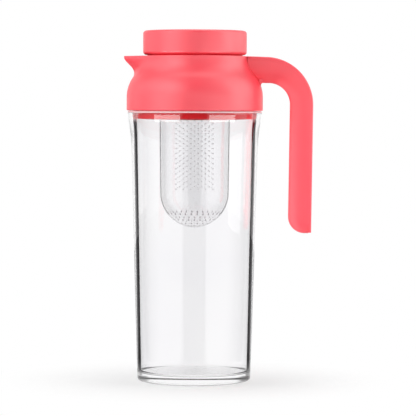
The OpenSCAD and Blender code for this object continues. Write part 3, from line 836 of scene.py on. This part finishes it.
class PITCHER_OT_basket(bpy.types.Operator):
    """Models the hanging infuser basket with its slotted flange and its holes"""

    bl_idname = "pitcher.basket"
    bl_label = "Infuser basket"

    # Turning angles, from 0 for facing to 1 for edge on, and heights between which the wall's painted dark
    # line shows
    LINE = (0.243, 0.248, 0.260, 0.265)
    LINE_HEIGHTS = (BASKET_LOW + 7.0 * MM, BASKET_LOW + 15.0 * MM)

    # Widths of a hole's two ends and its length, as shares of the hole's diameter and of the wall,
    # where in the wall its middle lies, and how much narrower a hole at the back is
    HOLE_ENDS = (0.1, 0.9)
    HOLE_LENGTH = 2.2
    HOLE_MIDDLE = 0.4
    BACK_HOLE = 0.65

    def execute(self, context):
        sizes = context.scene.pitcher.basket
        look = context.scene.pitcher.finish
        ball = sizes.radius - sizes.draft
        ball_z = BASKET_LOW + ball
        hollow = ball - sizes.wall
        seat = FLANGE_TOP - sizes.flange
        edge = 0.5 * MM
        lip, lip_z = hollow + sizes.draft, FLANGE_TOP - edge
        outline = arc((0.0, ball_z), ball, -90, 0, 18)
        outline += [(ball + sizes.draft * n / 12, ball_z + (seat - ball_z) * n / 12) for n in range(1, 13)]
        outline += arc((FLANGE_RADIUS - edge, seat + edge), edge, -90, 0, 4)
        outline += arc((FLANGE_RADIUS - edge, lip_z), edge, 0, 90, 4)
        outline += [(lip + edge, FLANGE_TOP), (lip, lip_z)]
        outline += [(lip - sizes.draft * n / 12, lip_z + (ball_z - lip_z) * n / 12) for n in range(1, 12)]
        outline += arc((0.0, ball_z), hollow, 0, -90, 18)
        basket = turned("infuser_tube", outline, 128, closed=False)
        centre = Vector((0, 0, ball_z))

        def outwards(place):
            return place - centre if place.z < ball_z else Vector((place.x, place.y, 0))

        def on_inner_side(place, normal):
            return normal.dot(outwards(place)) < 0 and place.z < lip_z

        def in_hole(place, normal):
            drafted = sizes.draft * max(0.0, place.z - ball_z) / (seat - ball_z)
            between = hollow + 0.06 * MM < outwards(place).length - drafted < ball - 0.06 * MM
            return between and place.z < seat - MM

        # The inside carries the wall's painted dark line, seen on edge
        inner = clear_plastic("basket_inside", look.clear_thin, look.painted_edge_line, self.LINE, self.LINE_HEIGHTS)
        basket.data.materials.append(clear_plastic("basket_outside", look.clear_thin))
        paint_faces(basket, inner, on_inner_side)
        combine(basket, self.hole_cutter(sizes, ball_z, ball))
        # The holes' cut edges get a light frost with a painted grey shade that darkens the holes
        paint_faces(basket, frosted_plastic("hole_shade", look.hole_shade, 0.3, 900.0), in_hole)
        finish_piece(basket, "basket", "infuser_basket", "clear_plastic", 30.0)
        return {"FINISHED"}

    def hole_cutter(self, sizes, ball_z, ball):
        """One tapered hole, copied to every place of the pattern and joined to one cutter."""
        clear_selection()
        bpy.ops.mesh.primitive_cone_add(
            vertices=10, radius1=sizes.hole * self.HOLE_ENDS[0], radius2=sizes.hole * self.HOLE_ENDS[1],
            depth=sizes.wall * self.HOLE_LENGTH,
        )
        hole = bpy.context.object
        sunk = sizes.wall * self.HOLE_MIDDLE
        low = ball_z + 3.4 * MM
        places = []
        for column in range(sizes.columns):
            x = (column - (sizes.columns - 1) / 2) * sizes.column_pitch
            shift = 0.5 * (column % 2)
            for row in range(sizes.rows):
                z = low + (row + shift) * sizes.row_pitch
                wide = ball + sizes.draft * (z - ball_z) / (FLANGE_TOP - sizes.flange - ball_z)
                deep = math.sqrt((wide - sunk) ** 2 - x * x)
                for side, share in ((-1, 1.0), (1, self.BACK_HOLE)):
                    aim = Matrix.Rotation(-side * math.pi / 2, 4, "X")
                    narrow = Matrix.Diagonal((share, share, 1.0, 1.0))
                    places.append(Matrix.Translation((x, side * deep, z)) @ aim @ narrow)
        aim = Matrix.Rotation(math.pi, 4, "X")
        for ring in range(sizes.rings):
            reach = ring * sizes.ring_pitch
            drop = math.sqrt((ball - sunk) ** 2 - reach * reach)
            around = max(6 * ring, 1)
            for number in range(around):
                turn = math.tau * number / around
                spot = (reach * math.cos(turn), reach * math.sin(turn), ball_z - drop)
                places.append(Matrix.Translation(spot) @ aim)
        turns = [Matrix.Rotation(math.tau * number / sizes.slots, 4, "Z") for number in range(sizes.slots)]
        copies = []
        for model, spots in ((hole, places), (self.slot_cutter(sizes), turns)):
            for place in spots:
                copies.append(copied(model))
                copies[-1].data.transform(place)
            bpy.data.objects.remove(model, do_unlink=True)
        clear_selection()
        for copy in copies:
            copy.select_set(True)
        bpy.context.view_layer.objects.active = copies[0]
        bpy.ops.object.join()
        return bpy.context.object

    def slot_cutter(self, sizes):
        """One curved drain slot that goes right through the flange."""
        near = sizes.slot_radius - sizes.slot_width / 2
        far = sizes.slot_radius + sizes.slot_width / 2
        low, high = FLANGE_TOP - sizes.flange - 0.5 * MM, FLANGE_TOP + 0.5 * MM
        slot = traced("slot", [(near, low), (far, low), (far, high), (near, high), (near, low)])
        edit_whole()
        bpy.ops.mesh.remove_doubles(threshold=SAME)
        bpy.ops.mesh.spin(steps=8, angle=math.radians(32), center=(0, 0, 0), axis=(0, 0, 1))
        edit_whole()
        bpy.ops.mesh.fill_holes(sides=0)
        mend(slot)
        return slot


class PITCHER_OT_cap(bpy.types.Operator):
    """Models the drum-shaped cap with its round edges"""

    bl_idname = "pitcher.cap"
    bl_label = "Cap"

    def execute(self, context):
        sizes = context.scene.pitcher.cap
        side = CAP_RADIUS - sizes.inset - sizes.edge
        mouth = CAP_RADIUS - sizes.wall
        bore = mouth - 1.2 * MM
        step = CAP_LOW + 2.4 * MM
        ceiling = CAP_TOP - sizes.top
        outline = [(0.0, CAP_TOP), (side * 0.5, CAP_TOP)]
        outline += arc((side, CAP_TOP - sizes.edge), sizes.edge, 90, 0, 10)
        outline += arc((side, CAP_LOW + sizes.edge), sizes.edge, 0, -90, 10)
        outline += [(mouth, CAP_LOW), (mouth, step), (bore, step), (bore, ceiling), (0.0, ceiling)]
        cap = turned("cap_drum", outline, 144, closed=False)
        finish_piece(cap, "cap", "cap_shell", "coral_plastic", 35.0, coral_plastic(context))
        return {"FINISHED"}


class PITCHER_OT_liner(bpy.types.Operator):
    """Models the liner with its deep skirt and the ledge that carries the basket"""

    bl_idname = "pitcher.liner"
    bl_label = "Liner"

    def execute(self, context):
        sizes = context.scene.pitcher.liner
        low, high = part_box("collar_liner")
        solid = [vertex.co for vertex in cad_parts["collar_liner"].data.vertices]
        bore = min(place.xy.length for place in solid)
        skirt = max(place.xy.length for place in solid if place.z < low.z + 0.1 * MM)
        edge = 0.8 * MM
        bottom = low.z - sizes.depth
        ledge = high.z - sizes.wall
        outline = [(bore, high.z), (bore, ledge), (skirt - sizes.wall, ledge)]
        outline += arc((skirt - sizes.wall + edge, bottom + edge), edge, 180, 270, 5)
        outline += arc((skirt - edge, bottom + edge), edge, 270, 360, 5)
        outline += [(skirt, (bottom + ledge) / 2), (skirt, ledge), (high.x, ledge), (high.x, high.z)]
        liner = turned("liner_skirt", outline, 144)
        deep = lit_inside_coral_plastic(context)
        finish_piece(liner, "collar_assembly", "collar_liner", "coral_plastic", 35.0, deep)
        return {"FINISHED"}


class PITCHER_OT_inner(bpy.types.Operator):
    """Gives the plug and the two seals their finishes"""

    bl_idname = "pitcher.inner"
    bl_label = "Plug and seals"

    def execute(self, context):
        deep = lit_inside_coral_plastic(context)
        # The cap's seal sits in the gap under the cap, where its red is partly painted shade of that gap
        silicone = satin_plastic("silicone_matt", context.scene.pitcher.finish.silicone, 0.62)
        finishes = {"cap_plug": deep, "collar_gasket": silicone, "cap_seal": silicone}
        for name, material in finishes.items():
            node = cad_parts[name]
            node.data.materials.clear()
            node.data.materials.append(material)
        return {"FINISHED"}


class PITCHER_OT_stage(bpy.types.Operator):
    """Sets the floor, the studio light, the white surroundings and the camera"""

    bl_idname = "pitcher.stage"
    bl_label = "Stage"

    # Soft light that the white studio sends from all sides
    FILL = 0.30

    # How bright the studio is round the pitcher as gloss shows it, by degrees from straight in front
    ROUND = [
        (-140, 1.0), (-132, 0.25), (-115, 0.22), (-100, 0.38), (-85, 0.72), (-70, 0.96), (-24.5, 0.94),
        (-21.5, 0.14), (21.5, 0.14), (24.5, 0.94), (70, 1.0), (85, 1.0), (100, 0.92), (115, 0.62),
        (132, 0.35), (140, 1.0),
    ]

    # Radius of the floor, where the shadow on it starts and ends to fade, and how white it is to gloss
    FLOOR = 1.6
    SHADOW = (0.045, 0.17)
    FLOOR_GLOSS = 0.4

    # Softboxes: degrees round from straight in front, degrees up, distance, width, height and power
    AIM = Vector((0, 0, 0.16))
    SOFTBOXES = [
        ("low_left", -62, 8, 1.3, 0.7, 0.7, 4.0),
        ("low_right", 80, 8, 1.3, 0.7, 0.7, 2.4),
        ("high_left", -80, 38, 1.3, 0.8, 0.8, 1.9),
        ("high_right", 80, 38, 1.3, 0.8, 0.8, 2.8),
        ("rim_left", -112, 14, 1.3, 0.7, 0.9, 1.7),
        ("rim_right", 116, 14, 1.3, 0.7, 0.9, 2.4),
        ("front_left", -40, 30, 1.4, 0.7, 0.7, 3.4),
        ("front", 8, 3, 1.9, 1.6, 1.0, 10.8),
        ("top", 180, 78, 1.5, 1.4, 1.4, 9.0),
    ]
    NOT_IN_GLOSS = ("front", "low_left", "on_grip")

    # Two small lights on the grip: place, direction, width, height, power and spread in degrees
    GRIP_LIGHTS = [
        ("on_grip", (0.30, -0.55, 0.15), (HANDLE_BACK - 0.308, 0.55, 0), 0.03, 0.16, 0.02, 14),
        ("through_jug", (HANDLE_BACK - 0.032, -0.006, 0.165), (1, 0.3, 0), 0.02, 0.15, 0.008, 180),
    ]

    # Brightness of the two cards, the degrees at which they start and how far they reach round,
    # distance and height of their near edges, height of their far edges, and how steeply in degrees
    # light from a far edge falls on the coral band, whose radius and height follow
    CARD = 6.5
    CARD_START = 24.5
    CARD_SWEEP = 48.0
    CARD_NEAR = (0.24, 0.142)
    CARD_FAR_HEIGHT = 0.005
    CARD_DROP = math.radians(17.2)
    BAND_RADIUS = 0.056
    BAND_HEIGHT = 0.219

    # The camera's lens in millimetres, its place, and how far it is tipped down and rolled, in degrees
    LENS = 203.2
    CAMERA_PLACE = (0.0113, -1.95, 0.228)
    CAMERA_TIP = 2.493
    CAMERA_ROLL = 0.22

    def execute(self, context):
        self.add_floor(context.scene.pitcher.finish.floor)
        self.add_lights()
        self.add_cards()
        self.add_surroundings(context.scene)
        self.add_camera(context.scene)
        context.scene.view_settings.view_transform = "Standard"
        return {"FINISHED"}

    def white_seen(self, tree, place, direction, gloss=1.0):
        """How white the studio is for a ray: full for the camera, by direction for gloss and clear pieces."""
        x, y = place
        path = add_node(tree, "LightPath", (x, y)).outputs
        split = add_node(tree, "SeparateXYZ", (x, y - 400), {0: direction}).outputs
        ahead = worked_out(tree, (x + 200, y - 500), "MULTIPLY", split["Y"], -1.0)
        turn = worked_out(tree, (x + 400, y - 400), "ARCTAN2", split["X"], ahead)
        share = worked_out(tree, (x + 600, y - 400), "MULTIPLY_ADD", turn, 1 / math.tau, 0.5)
        stops = [(0.5 + side / 360, level) for side, level in self.ROUND]
        wall = ramp(tree, (x + 800, y - 400), share, stops)
        shine = worked_out(tree, (x + 600, y - 100), "MULTIPLY", path["Is Glossy Ray"], gloss)
        inside = worked_out(tree, (x + 800, y - 100), "MAXIMUM", shine, path["Is Transmission Ray"])
        shown = worked_out(tree, (x + 1000, y - 200), "MULTIPLY", inside, wall)
        level = worked_out(tree, (x + 1200, y), "MAXIMUM", shown, path["Is Camera Ray"])
        return path, inside, level

    def add_floor(self, shade):
        """A pale floor that keeps the shadow near the pitcher and runs out into white. Clear pieces see it
        white under the pitcher too."""
        clear_selection()
        bpy.ops.mesh.primitive_circle_add(
            vertices=128, radius=self.FLOOR, fill_type="NGON", location=(0, 0, -0.4 * MM)
        )
        floor = bpy.context.object
        floor.name = "studio_floor"
        edit_whole()
        bpy.ops.mesh.inset(thickness=self.FLOOR / 2, depth=0.0)
        bpy.ops.object.mode_set(mode="OBJECT")
        bpy.ops.object.transform_apply()
        material, tree, shader = new_material("studio_floor")
        feed(tree, shader, {"Base Color": (*shade, 1.0), "Roughness": 0.8, "Specular IOR Level": 0.0})
        where = add_node(tree, "TexCoord", (-900, -300)).outputs["Object"]
        reach = add_node(tree, "VectorMath", (-700, -300), {0: where}, operation="LENGTH")
        inputs = {"Value": reach.outputs["Value"], "From Min": self.SHADOW[0], "From Max": self.SHADOW[1]}
        fading = add_node(tree, "MapRange", (-500, -300), inputs, interpolation_type="SMOOTHSTEP")
        fade = fading.outputs["Result"]
        path, _, level = self.white_seen(tree, (-1800, -700), where, self.FLOOR_GLOSS)
        clear = path["Is Transmission Ray"]
        seen = worked_out(tree, (-500, -600), "SUBTRACT", 1.0, path["Is Diffuse Ray"], clamp=True)
        share = worked_out(tree, (-250, -200), "MULTIPLY", fade, seen)
        through = worked_out(tree, (0, -200), "MAXIMUM", share, clear)
        under = worked_out(tree, (-250, -500), "SUBTRACT", clear, fade, clamp=True)
        bright = worked_out(tree, (0, -500), "MAXIMUM", level, under)
        white = add_node(tree, "Emission", (300, -500), {"Strength": bright})
        inputs = {"Fac": through, 1: shader.outputs["BSDF"], 2: white.outputs["Emission"]}
        mix = add_node(tree, "MixShader", (480, 100), inputs)
        output = next(node for node in tree.nodes if node.type == "OUTPUT_MATERIAL")
        feed(tree, output, {"Surface": mix.outputs["Shader"]})
        floor.data.materials.append(material)

    def add_lights(self):
        """Softboxes round the pitcher, a narrow light on the grip, and a little light that comes through
        the clear jug onto it."""
        for name, side, rise, reach, wide, high, power in self.SOFTBOXES:
            side, rise = math.radians(side), math.radians(rise)
            flat = reach * math.cos(rise)
            offset = Vector((flat * math.sin(side), -flat * math.cos(side), reach * math.sin(rise)))
            self.add_light(name, self.AIM + offset, -offset, wide, high, power)
        for light in self.GRIP_LIGHTS:
            self.add_light(*light)

    def add_light(self, name, place, towards, wide, high, power, spread=180):
        """One flat light that shines along a direction and isn't seen through clear pieces."""
        data = bpy.data.lights.new(name, "AREA")
        data.shape = "RECTANGLE"
        data.size = wide
        data.size_y = high
        data.energy = power
        data.spread = math.radians(spread)
        lamp = bpy.data.objects.new(name, data)
        lamp.location = place
        lamp.rotation_euler = Vector(towards).to_track_quat("-Z", "Y").to_euler()
        lamp.visible_camera = False
        lamp.visible_transmission = False
        lamp.visible_glossy = name not in self.NOT_IN_GLOSS
        bpy.context.scene.collection.objects.link(lamp)

    def add_cards(self):
        """Two white cards at both sides of the camera, curved round the pitcher, that only gloss shows."""
        material = bpy.data.materials.new("white_card")
        tree = empty_tree(material)
        white = add_node(tree, "Emission", (0, 100), {"Strength": self.CARD})
        through = add_node(tree, "BsdfTransparent", (0, -100))
        back = add_node(tree, "NewGeometry", (0, 300))
        inputs = {"Fac": back.outputs["Backfacing"], 1: white.outputs["Emission"], 2: through.outputs["BSDF"]}
        mix = add_node(tree, "MixShader", (200, 0), inputs)
        add_node(tree, "OutputMaterial", (400, 0), {"Surface": mix.outputs["Shader"]})
        for name, side in (("card_left", -1), ("card_right", 1)):
            clear_selection()
            bpy.ops.mesh.primitive_grid_add(x_subdivisions=16, y_subdivisions=1, size=1.0)
            card = bpy.context.object
            card.name = card.data.name = name
            for vertex in card.data.vertices:
                turn = math.radians(self.CARD_START + self.CARD_SWEEP * (vertex.co.x + 0.5))
                drop = math.asin(math.cos(turn / 2) * math.sin(self.CARD_DROP))
                reach, height = self.CARD_NEAR
                if vertex.co.y > 0:
                    height = self.CARD_FAR_HEIGHT
                    reach = self.BAND_RADIUS + (self.BAND_HEIGHT - height) / math.tan(drop)
                vertex.co = (side * reach * math.sin(turn), -reach * math.cos(turn), height)
            mend(card)
            if card.data.polygons[0].normal.z < 0:
                edit_whole()
                bpy.ops.mesh.flip_normals()
                bpy.ops.object.mode_set(mode="OBJECT")
            card.data.materials.append(material)
            for kind in ("camera", "diffuse", "transmission", "shadow"):
                setattr(card, "visible_" + kind, False)

    def add_surroundings(self, scene):
        """White where it is seen, and a soft fill for the rest."""
        scene.world = bpy.data.worlds.new("studio")
        tree = empty_tree(scene.world)
        where = add_node(tree, "TexCoord", (-1900, -200))
        _, inside, level = self.white_seen(tree, (-1700, 200), where.outputs["Generated"])
        soft = worked_out(tree, (0, -200), "MULTIPLY_ADD", inside, -self.FILL, self.FILL)
        fill = worked_out(tree, (200, 0), "MAXIMUM", level, soft)
        inputs = {"Color": (1.0, 1.0, 1.0, 1.0), "Strength": fill}
        white = add_node(tree, "Background", (420, 0), inputs)
        add_node(tree, "OutputWorld", (640, 0), {"Surface": white.outputs["Background"]})

    def add_camera(self, scene):
        """A long lens at the height of the collar's lower edge, tipped slightly down."""
        data = bpy.data.cameras.new("camera")
        data.sensor_width = 36.0
        data.lens = self.LENS
        data.clip_end = 20.0
        camera = bpy.data.objects.new("camera", data)
        scene.collection.objects.link(camera)
        camera.location = self.CAMERA_PLACE
        tip = Matrix.Rotation(math.radians(90 - self.CAMERA_TIP), 4, "X")
        roll = Matrix.Rotation(math.radians(self.CAMERA_ROLL), 4, "Z")
        camera.rotation_euler = (tip @ roll).to_euler()
        scene.camera = camera


class PITCHER_PT_panel(bpy.types.Panel):
    """The pitcher's operators and settings"""

    bl_idname = "PITCHER_PT_panel"
    bl_label = "Pitcher"
    bl_space_type = "VIEW_3D"
    bl_region_type = "UI"
    bl_category = "Pitcher"

    def draw(self, context):
        settings = context.scene.pitcher
        for operator in OPERATORS:
            self.layout.operator(operator.bl_idname)
        for name in settings.bl_rna.properties.keys():
            group = getattr(settings, name)
            if isinstance(group, bpy.types.PropertyGroup):
                box = self.layout.box()
                box.label(text=name.capitalize())
                for key in group.bl_rna.properties.keys():
                    if key not in ("rna_type", "name"):
                        box.prop(group, key)


OPERATORS = (
    PITCHER_OT_jug, PITCHER_OT_collar, PITCHER_OT_handle, PITCHER_OT_basket, PITCHER_OT_cap,
    PITCHER_OT_liner, PITCHER_OT_inner, PITCHER_OT_stage,
)
GROUPS = (
    PITCHER_PG_jug, PITCHER_PG_collar, PITCHER_PG_handle, PITCHER_PG_basket, PITCHER_PG_liner,
    PITCHER_PG_cap, PITCHER_PG_finish, PITCHER_PG_settings,
)


def register():
    for item in (*GROUPS, *OPERATORS, PITCHER_PT_panel):
        bpy.utils.register_class(item)
    bpy.types.Scene.pitcher = bpy.props.PointerProperty(type=PITCHER_PG_settings)


def unregister():
    del bpy.types.Scene.pitcher
    for item in reversed((*GROUPS, *OPERATORS, PITCHER_PT_panel)):
        bpy.utils.unregister_class(item)


def main():
    register()
    bpy.ops.pitcher.jug()
    bpy.ops.pitcher.collar()
    bpy.ops.pitcher.handle()
    bpy.ops.pitcher.basket()
    bpy.ops.pitcher.cap()
    bpy.ops.pitcher.liner()
    bpy.ops.pitcher.inner()
    bpy.ops.pitcher.stage()


if __name__ == "__main__":
    main()
